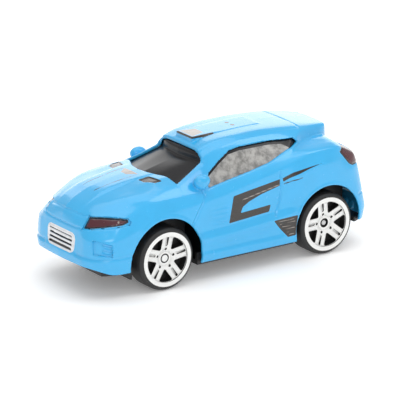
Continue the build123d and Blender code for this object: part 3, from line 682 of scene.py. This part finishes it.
def plain_material(name, colour, roughness, grain=900, **sockets):
    """A moulded or rolled surface: slight changes of colour and gloss, and a fine bump."""
    made, tree, shader = new_material(name, colour, roughness, **sockets)
    links = tree.links
    coordinates = tree.nodes.new("ShaderNodeTexCoord")
    cloud = tree.nodes.new("ShaderNodeTexNoise")
    cloud.inputs["Scale"].default_value = grain / CLOUD_SIZE
    cloud.inputs["Detail"].default_value = 4
    fine = tree.nodes.new("ShaderNodeTexNoise")
    fine.inputs["Scale"].default_value = grain
    fine.inputs["Detail"].default_value = 3
    for noise in (cloud, fine):
        links.new(coordinates.outputs["Object"], noise.inputs["Vector"])
    tint = tree.nodes.new("ShaderNodeMix")
    tint.data_type = "RGBA"
    tint.inputs["A"].default_value = (*[c * DARKEST_TINT for c in colour], 1)
    tint.inputs["B"].default_value = (*[min(1, c * LIGHTEST_TINT + TINT_LIFT) for c in colour], 1)
    links.new(cloud.outputs["Fac"], tint.inputs["Factor"])
    links.new(tint.outputs["Result"], shader.inputs["Base Color"])
    gloss = tree.nodes.new("ShaderNodeMapRange")
    gloss.inputs["To Min"].default_value = roughness * GLOSSIEST
    gloss.inputs["To Max"].default_value = min(1, roughness * DULLEST)
    links.new(fine.outputs["Fac"], gloss.inputs["Value"])
    links.new(gloss.outputs["Result"], shader.inputs["Roughness"])
    relief = tree.nodes.new("ShaderNodeBump")
    relief.inputs["Strength"].default_value = BUMP_STRENGTH
    relief.inputs["Distance"].default_value = BUMP_HEIGHT
    links.new(fine.outputs["Fac"], relief.inputs["Height"])
    links.new(relief.outputs["Normal"], shader.inputs["Normal"])
    return made


BODY_BLUE = (0.035, 0.44, 0.83)
# Print colours. The dark one is also painted shade round the headlight lenses and along the roof scoop, and
# the pale one is also a painted highlight on each headlight.
PRINT_AND_PAINTED_LIGHT_COLOURS = {
    "dark_print_and_painted_shade": (0.018, 0.012, 0.008),
    "ink_red": (0.07, 0.002, 0.01),
    "pale_print_and_painted_glint": (0.32, 0.28, 0.25),
    "ink_white": (0.85, 0.86, 0.88),
}
FOIL_SILVER = (0.42, 0.41, 0.39)
FOIL_WHITE = (0.86, 0.86, 0.84)

MOTTLING = {"ink_silver": 0.55}
USUAL_MOTTLING = 0.15
PATCH_SCALE, PATCH_DETAIL, PATCH_ROUGHNESS = 420, 6, 0.65
PATCH_DARK, PATCH_LIGHT = 0.38, 0.6
INK_WEAR = 0.06
INK_WEAR_SCALE = 2600
INK_EDGE = 0.05


def mottled(nodes, links, colour, amount):
    """A colour that darkens in small patches by up to this share."""
    coordinates = nodes.new("ShaderNodeTexCoord")
    patches = nodes.new("ShaderNodeTexNoise")
    patches.inputs["Scale"].default_value = PATCH_SCALE
    patches.inputs["Detail"].default_value = PATCH_DETAIL
    patches.inputs["Roughness"].default_value = PATCH_ROUGHNESS
    links.new(coordinates.outputs["Object"], patches.inputs["Vector"])
    contrast = nodes.new("ShaderNodeMapRange")
    contrast.inputs["From Min"].default_value = PATCH_DARK
    contrast.inputs["From Max"].default_value = PATCH_LIGHT
    links.new(patches.outputs["Fac"], contrast.inputs["Value"])
    blend = nodes.new("ShaderNodeMix")
    blend.data_type = "RGBA"
    blend.inputs["A"].default_value = (*[c * (1 - amount) for c in colour], 1)
    blend.inputs["B"].default_value = (*colour, 1)
    links.new(contrast.outputs["Result"], blend.inputs["Factor"])
    return blend.outputs["Result"]


def print_and_painted_light_material(name, colour, roughness, colour_layers, grain, **sockets):
    """A moulded surface with colour layers, each laid where the mesh's attribute of that name is below zero:
    prints, and on the body also painted shade and a painted highlight.
    """
    made = plain_material(name, colour, roughness, grain, **sockets)
    nodes, links = made.node_tree.nodes, made.node_tree.links
    shader = nodes["Principled BSDF"]
    under = shader.inputs["Base Color"].links[0].from_socket
    wear = nodes.new("ShaderNodeTexNoise")
    wear.inputs["Scale"].default_value = INK_WEAR_SCALE
    wear.inputs["Detail"].default_value = 3
    for colour_layer, layer_colour in colour_layers.items():
        distance = nodes.new("ShaderNodeAttribute")
        distance.attribute_name = colour_layer
        ragged = nodes.new("ShaderNodeMath")
        ragged.operation = "MULTIPLY_ADD"
        links.new(wear.outputs["Fac"], ragged.inputs[0])
        ragged.inputs[1].default_value = INK_WEAR
        links.new(distance.outputs["Fac"], ragged.inputs[2])
        printed = nodes.new("ShaderNodeMapRange")
        printed.inputs["From Min"].default_value = INK_WEAR / 2 - INK_EDGE
        printed.inputs["From Max"].default_value = INK_WEAR / 2 + INK_EDGE
        printed.inputs["To Min"].default_value = 1
        printed.inputs["To Max"].default_value = 0
        links.new(ragged.outputs["Value"], printed.inputs["Value"])
        layer = nodes.new("ShaderNodeMix")
        layer.data_type = "RGBA"
        links.new(printed.outputs["Result"], layer.inputs["Factor"])
        links.new(under, layer.inputs["A"])
        patchy = mottled(nodes, links, layer_colour, MOTTLING.get(colour_layer, USUAL_MOTTLING))
        links.new(patchy, layer.inputs["B"])
        under = layer.outputs["Result"]
    links.new(under, shader.inputs["Base Color"])
    return made


MATERIALS = {
    "body_plastic": print_and_painted_light_material(
        "body_plastic", BODY_BLUE, 0.25, PRINT_AND_PAINTED_LIGHT_COLOURS, 700, Coat_Weight=0.6, Coat_Roughness=0.05
    ),
    "smoke_window": print_and_painted_light_material(
        "smoke_window", (0.01, 0.01, 0.012), 0.22, {"ink_silver": FOIL_SILVER}, 500,
        Specular_IOR_Level=0.35,
    ),
    "wheel_foil": plain_material("wheel_foil", FOIL_WHITE, 0.3, 1200),
    "chassis_plastic": plain_material("chassis_plastic", (0.012, 0.012, 0.013), 0.45),
    "motor_plastic": plain_material("motor_plastic", (0.05, 0.05, 0.055), 0.5),
    "gear_plastic": plain_material("gear_plastic", (0.75, 0.75, 0.7), 0.4),
    "wheel_plastic": plain_material("wheel_plastic", (0.012, 0.012, 0.012), 0.4),
    "tyre_soft": plain_material("tyre_soft", (0.018, 0.018, 0.018), 0.5, 1400),
    "axle_steel": plain_material("axle_steel", (0.55, 0.55, 0.55), 0.25, Metallic=1.0),
    "screw_steel": plain_material("screw_steel", (0.5, 0.5, 0.48), 0.35, Metallic=1.0),
    "spring_steel": plain_material("spring_steel", (0.35, 0.36, 0.38), 0.3, Metallic=1.0),
}

slot_of_node = {part["node"]: part["material_slot"] for part in frame["record"]["subparts"]}
for name, node in frame["nodes"].items():
    node.data.materials.clear()
    node.data.materials.append(MATERIALS[slot_of_node[name]])


# ---- Prints, with painted shade and a painted highlight ----

HOOK = [
    (-0.9, 26.8), (5.4, 27.7), (17.6, 29.3), (17.4, 27.1), (10.0, 25.5), (5.2, 23.9), (2.7, 22.5),
    (1.9, 20.6), (13.8, 21.3), (13.2, 19.0), (-2.7, 17.9),
]
SPIKE = [
    (18.5, 29.4), (22.8, 30.7), (29.0, 31.5), (34.8, 32.1), (29.0, 31.0), (25.0, 29.9), (21.1, 29.0),
    (18.8, 28.2),
]
SPIKE_LINE = [(18.8, 27.4), (21.1, 27.8), (26.0, 28.4)]
HOOK_LINE = [(2.5, 24.9), (10.0, 26.2), (17.6, 27.5)]
SIDE_VENT = [(14.4, 15.8), (24.0, 16.1), (23.2, 9.3), (20.1, 9.2)]
BONNET_LINE = [(4.1, -27.5), (4.1, -32.0), (3.7, -37.0), (3.7, -41.0), (3.4, -43.6)]
BONNET_PATCH = [(-4.0, -27.2), (4.0, -27.2), (1.6, -30.2), (-1.6, -30.2)]
# Along the roof scoop's front and sides, dark colour is painted shade: the shaded intake opening under its
# front edge, and its sides in shadow.
SCOOP_SHADE_LINE = [(0, -6.6), (4.6, -6.6), (4.6, 1.5)]
SCOOP_PATCH = [(-3.9, -5.8), (3.9, -5.8), (2.4, -0.5), (-2.4, -0.5)]
SIDE_FOIL = [
    (-10.0, 30.0), (-1.2, 31.5), (6.8, 32.8), (14.7, 34.3), (24.5, 37.6), (22.4, 38.9), (17.5, 39.3),
    (6.0, 39.2), (1.8, 38.6), (-2.5, 36.4), (-8.0, 33.0),
]
ROOF_DOT, ROOF_DOT_RADIUS = (1.6, 11.5), 0.8
# The pale dot on each headlight is a painted highlight, the glint of a lamp on the lens.
HEADLIGHT_GLINT, HEADLIGHT_GLINT_RADIUS = (-18.4, 25.4), 0.35
# The last of these is how far the painted shade along the roof scoop reaches.
DARK_LINE_REACH, PALE_LINE_REACH, SCOOP_SHADE_REACH = 0.2, 0.18, 0.5
# Round each headlight's red, a dark ring is painted shade at the lens edge, where the recess round the lens
# lies in shadow.
HEADLIGHT_SHADE_RING, HEADLIGHT_RED_INSET = 0.2, 0.25
TAIL_LIGHT_BORDER, TAIL_LIGHT_RED_INSET = 0.25, 0.3
GRILLE_BORDER = 0.3

# A print's outline lies in a flat plane, so this keeps it off the surfaces that face elsewhere.
ELSEWHERE = 50.0
SIDE_PRINT_X, FRONT_PRINT_Y, REAR_PRINT_Y = 16, -38, 38
SCOOP_PRINT_BELOW_TOP = 0.8

VENT_BARS = 6
VENT_BAR_TOP, VENT_BAR_BOTTOM, VENT_BAR_SPARE = 0.72, 0.98, 0.6
VENT_BAR_FRONT_GAP, VENT_BAR_REAR_GAP = 1.1, 0.7


def between(start, end, share, shift):
    """The point this share of the way from start to end, shifted along the car."""
    return start[0] + (end[0] - start[0]) * share + shift, start[1] + (end[1] - start[1]) * share


def vent_bar_outlines():
    """Light bars across the side vent, shorter downwards."""
    front_top, rear_top, rear_bottom, front_bottom = SIDE_VENT
    bars = []
    for i in range(VENT_BARS):
        low, high = [(i + edge) / (VENT_BARS + VENT_BAR_SPARE) for edge in (VENT_BAR_TOP, VENT_BAR_BOTTOM)]
        front = [between(front_top, front_bottom, share, VENT_BAR_FRONT_GAP) for share in (low, high)]
        rear = [between(rear_top, rear_bottom, share, -VENT_BAR_REAR_GAP) for share in (low, high)]
        bars.append([front[0], rear[0], rear[1], front[1]])
    return bars


def print_and_painted_light_distances(x, y, z):
    """For each colour layer, the distance to the nearest mark of it, negative inside the mark. The marks are
    prints, except the painted shade round the headlight lenses and along the roof scoop, and the painted
    highlight on each headlight.
    """
    side = ELSEWHERE * (x < SIDE_PRINT_X)
    front = ELSEWHERE * (y > FRONT_PRINT_Y)
    rear = ELSEWHERE * (y < REAR_PRINT_Y)
    top = ELSEWHERE * (z < ABOVE_SIDES_Z)
    scoop_top = ELSEWHERE * (z < SCOOP_TOP_Z - SCOOP_PRINT_BELOW_TOP)
    headlight = outline_distance(front_corner(x, y), z, HEADLIGHT)
    tail_light = outline_distance(rear_corner(x, y), z, TAIL_LIGHT)
    grille = outline_distance(x, z, GRILLE) - GRILLE_BORDER
    vent_bars = [outline_distance(y, z, bar) for bar in vent_bar_outlines()]
    # Dark print, with painted shade round the headlight lenses and along the roof scoop.
    dark = [
        outline_distance(y, z, HOOK) + side,
        outline_distance(y, z, SPIKE) + side,
        line_distance(y, z, SPIKE_LINE) - DARK_LINE_REACH + side,
        outline_distance(y, z, SIDE_VENT) + side,
        # Painted shade at the headlight lens edge.
        headlight - HEADLIGHT_SHADE_RING + front,
        tail_light - TAIL_LIGHT_BORDER + rear,
        outline_distance(x, y, BONNET_VENT) + top,
        line_distance(x, y, BONNET_LINE) - DARK_LINE_REACH + top,
        # Painted shade along the roof scoop's front and sides.
        line_distance(x, y, SCOOP_SHADE_LINE) - SCOOP_SHADE_REACH + scoop_top,
        np.hypot(x - ROOF_DOT[0], y - ROOF_DOT[1]) - ROOF_DOT_RADIUS + scoop_top,
        np.maximum(grille, slot_distance(x, z)) + front,
    ]
    red = [headlight + HEADLIGHT_RED_INSET + front, tail_light + TAIL_LIGHT_RED_INSET + rear]
    # A painted highlight on each headlight.
    painted_glint = np.hypot(front_corner(x, y) - HEADLIGHT_GLINT[0], z - HEADLIGHT_GLINT[1]) - HEADLIGHT_GLINT_RADIUS
    # Pale print, with a painted highlight on each headlight.
    pale = [
        line_distance(y, z, HOOK_LINE) - PALE_LINE_REACH + side,
        outline_distance(x, y, BONNET_PATCH) + top,
        outline_distance(x, y, SCOOP_PATCH) + scoop_top,
        painted_glint + front,
        np.minimum.reduce(vent_bars) + side,
    ]
    white = [np.maximum(grille, -slot_distance(x, z)) + front]
    colour_layers = {"dark_print_and_painted_shade": dark, "ink_red": red, "pale_print_and_painted_glint": pale, "ink_white": white}
    return {colour_layer: np.minimum.reduce(distances) for colour_layer, distances in colour_layers.items()}


def keep_attribute(piece, name, values):
    piece.data.attributes.new(name, "FLOAT", "POINT").data.foreach_set("value", values.astype(np.float32))


# ---- Pieces ----

BODY_BOX = (-23.2, -56.4, 5.6), (23.2, 56.4, 45.2)
BODY_STEP = 0.42
GLASS_BOX = (-20.0, -29.0, 28.6), (20.0, 51.6, 43.4)
GLASS_STEP = 0.5
SIDE_PANE_X = 11.2

body, body_points = form_piece("body_shell_moulding", shell_form, *BODY_BOX, BODY_STEP)
body.data.materials.append(MATERIALS["body_plastic"])
body_side = np.abs(body_points[:, 0])
for colour_layer, distance in print_and_painted_light_distances(body_side, body_points[:, 1], body_points[:, 2]).items():
    keep_attribute(body, colour_layer, distance)
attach(body, "car")
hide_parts("body_shell")

glass, glass_points = form_piece("window_moulding", glass_form, *GLASS_BOX, GLASS_STEP)
glass.data.materials.append(MATERIALS["smoke_window"])
glass_side, glass_y, glass_z = np.abs(glass_points[:, 0]), glass_points[:, 1], glass_points[:, 2]
foil_distance = outline_distance(glass_y, glass_z, SIDE_FOIL) + ELSEWHERE * (glass_side < SIDE_PANE_X)
keep_attribute(glass, "ink_silver", foil_distance)
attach(glass, "car")
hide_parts("window_insert")

FOIL_INNERMOST = 18.7
FOIL_FACING = 0.75
FOIL_THICKNESS = 0.04


def wheel_foil(wheel_name, body_name):
    """The bright foil pressed onto a wheel's raised outer faces."""
    wheel = frame["nodes"][wheel_name]
    side = math.copysign(1, node_centre(wheel_name)[0])
    raised = bmesh.new()
    raised.from_mesh(wheel.data)
    low_faces = [
        face for face in raised.faces
        if face.normal.x * side < FOIL_FACING or face.calc_center_median().x * side < FOIL_INNERMOST * MM
    ]
    bmesh.ops.delete(raised, geom=low_faces, context="FACES")
    bmesh.ops.translate(raised, verts=raised.verts, vec=(side * FOIL_THICKNESS * MM, 0, 0))
    bmesh.ops.solidify(raised, geom=raised.faces[:], thickness=FOIL_THICKNESS * MM)
    mesh = bpy.data.meshes.new(wheel_name + "_foil")
    raised.to_mesh(mesh)
    raised.free()
    foil = bpy.data.objects.new(wheel_name + "_foil", mesh)
    bpy.context.scene.collection.objects.link(foil)
    mesh.materials.append(MATERIALS["wheel_foil"])
    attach(foil, body_name)


for end in ("front", "rear"):
    for side_name in ("left", "right"):
        wheel_foil(f"{end}_{side_name}_wheel", f"{end}_wheels")


# ---- Stage, lights and camera ----

FLOOR_REACH = 3
FLOOR_GLOW = 0.15
WORLD_STRENGTH = 0.62

floor_mesh = bpy.data.meshes.new("floor")
floor_corners = [(FLOOR_REACH * across, FLOOR_REACH * along, 0) for across, along in
                 ((-1, -1), (1, -1), (1, 1), (-1, 1))]
floor_mesh.from_pydata(floor_corners, [], [(0, 1, 2, 3)])
floor = bpy.data.objects.new("floor", floor_mesh)
bpy.context.scene.collection.objects.link(floor)
floor_material, _, _ = new_material(
    "floor_white", (1, 1, 1), 0.7, Emission_Color=(1, 1, 1, 1), Emission_Strength=FLOOR_GLOW
)
floor.data.materials.append(floor_material)


def area_light(name, place, aim, size, power):
    data = bpy.data.lights.new(name, "AREA")
    data.shape = "RECTANGLE"
    data.size, data.size_y = size
    data.energy = power
    light = bpy.data.objects.new(name, data)
    light.location = place
    light.rotation_mode = "QUATERNION"
    light.rotation_quaternion = (Vector(aim) - Vector(place)).to_track_quat("-Z", "Y")
    bpy.context.scene.collection.objects.link(light)


CENTRE = (0.0, 0.0, 0.02)
area_light("top_softbox", (0.0, 0.0, 0.9), CENTRE, (0.9, 0.9), 3.0)
area_light("side_softbox", (0.7, -0.35, 0.45), CENTRE, (0.4, 0.4), 1.3)
area_light("back_softbox", (-1.0, 0.69, 0.42), CENTRE, (1.6, 0.8), 5.0)
area_light("rim_softbox", (0.45, 0.54, 0.75), CENTRE, (0.35, 0.35), 1.0)

world = bpy.data.worlds.new("studio")
world.use_nodes = True
world.node_tree.nodes["Background"].inputs["Color"].default_value = (1, 1, 1, 1)
world.node_tree.nodes["Background"].inputs["Strength"].default_value = WORLD_STRENGTH
bpy.context.scene.world = world
bpy.context.scene.view_settings.view_transform = "Standard"

CAMERA_AZIMUTH = math.radians(55.462)
CAMERA_ELEVATION = math.radians(18.108)
CAMERA_DISTANCE = 1.259
CAMERA_TARGET = Vector((-0.00197, 0.001167, 0.019184))
LENS, SENSOR_WIDTH = 344.68, 36.0
CLIP_START, CLIP_END = 0.01, 20

camera_back = Vector((
    math.sin(CAMERA_AZIMUTH) * math.cos(CAMERA_ELEVATION),
    -math.cos(CAMERA_AZIMUTH) * math.cos(CAMERA_ELEVATION),
    math.sin(CAMERA_ELEVATION),
))
camera_data = bpy.data.cameras.new("camera")
camera_data.lens = LENS
camera_data.sensor_width = SENSOR_WIDTH
camera_data.clip_start, camera_data.clip_end = CLIP_START, CLIP_END
camera = bpy.data.objects.new("camera", camera_data)
camera.location = CAMERA_TARGET + camera_back * CAMERA_DISTANCE
camera.rotation_mode = "QUATERNION"
camera.rotation_quaternion = (-camera_back).to_track_quat("-Z", "Y")
bpy.context.scene.collection.objects.link(camera)
bpy.context.scene.camera = camera
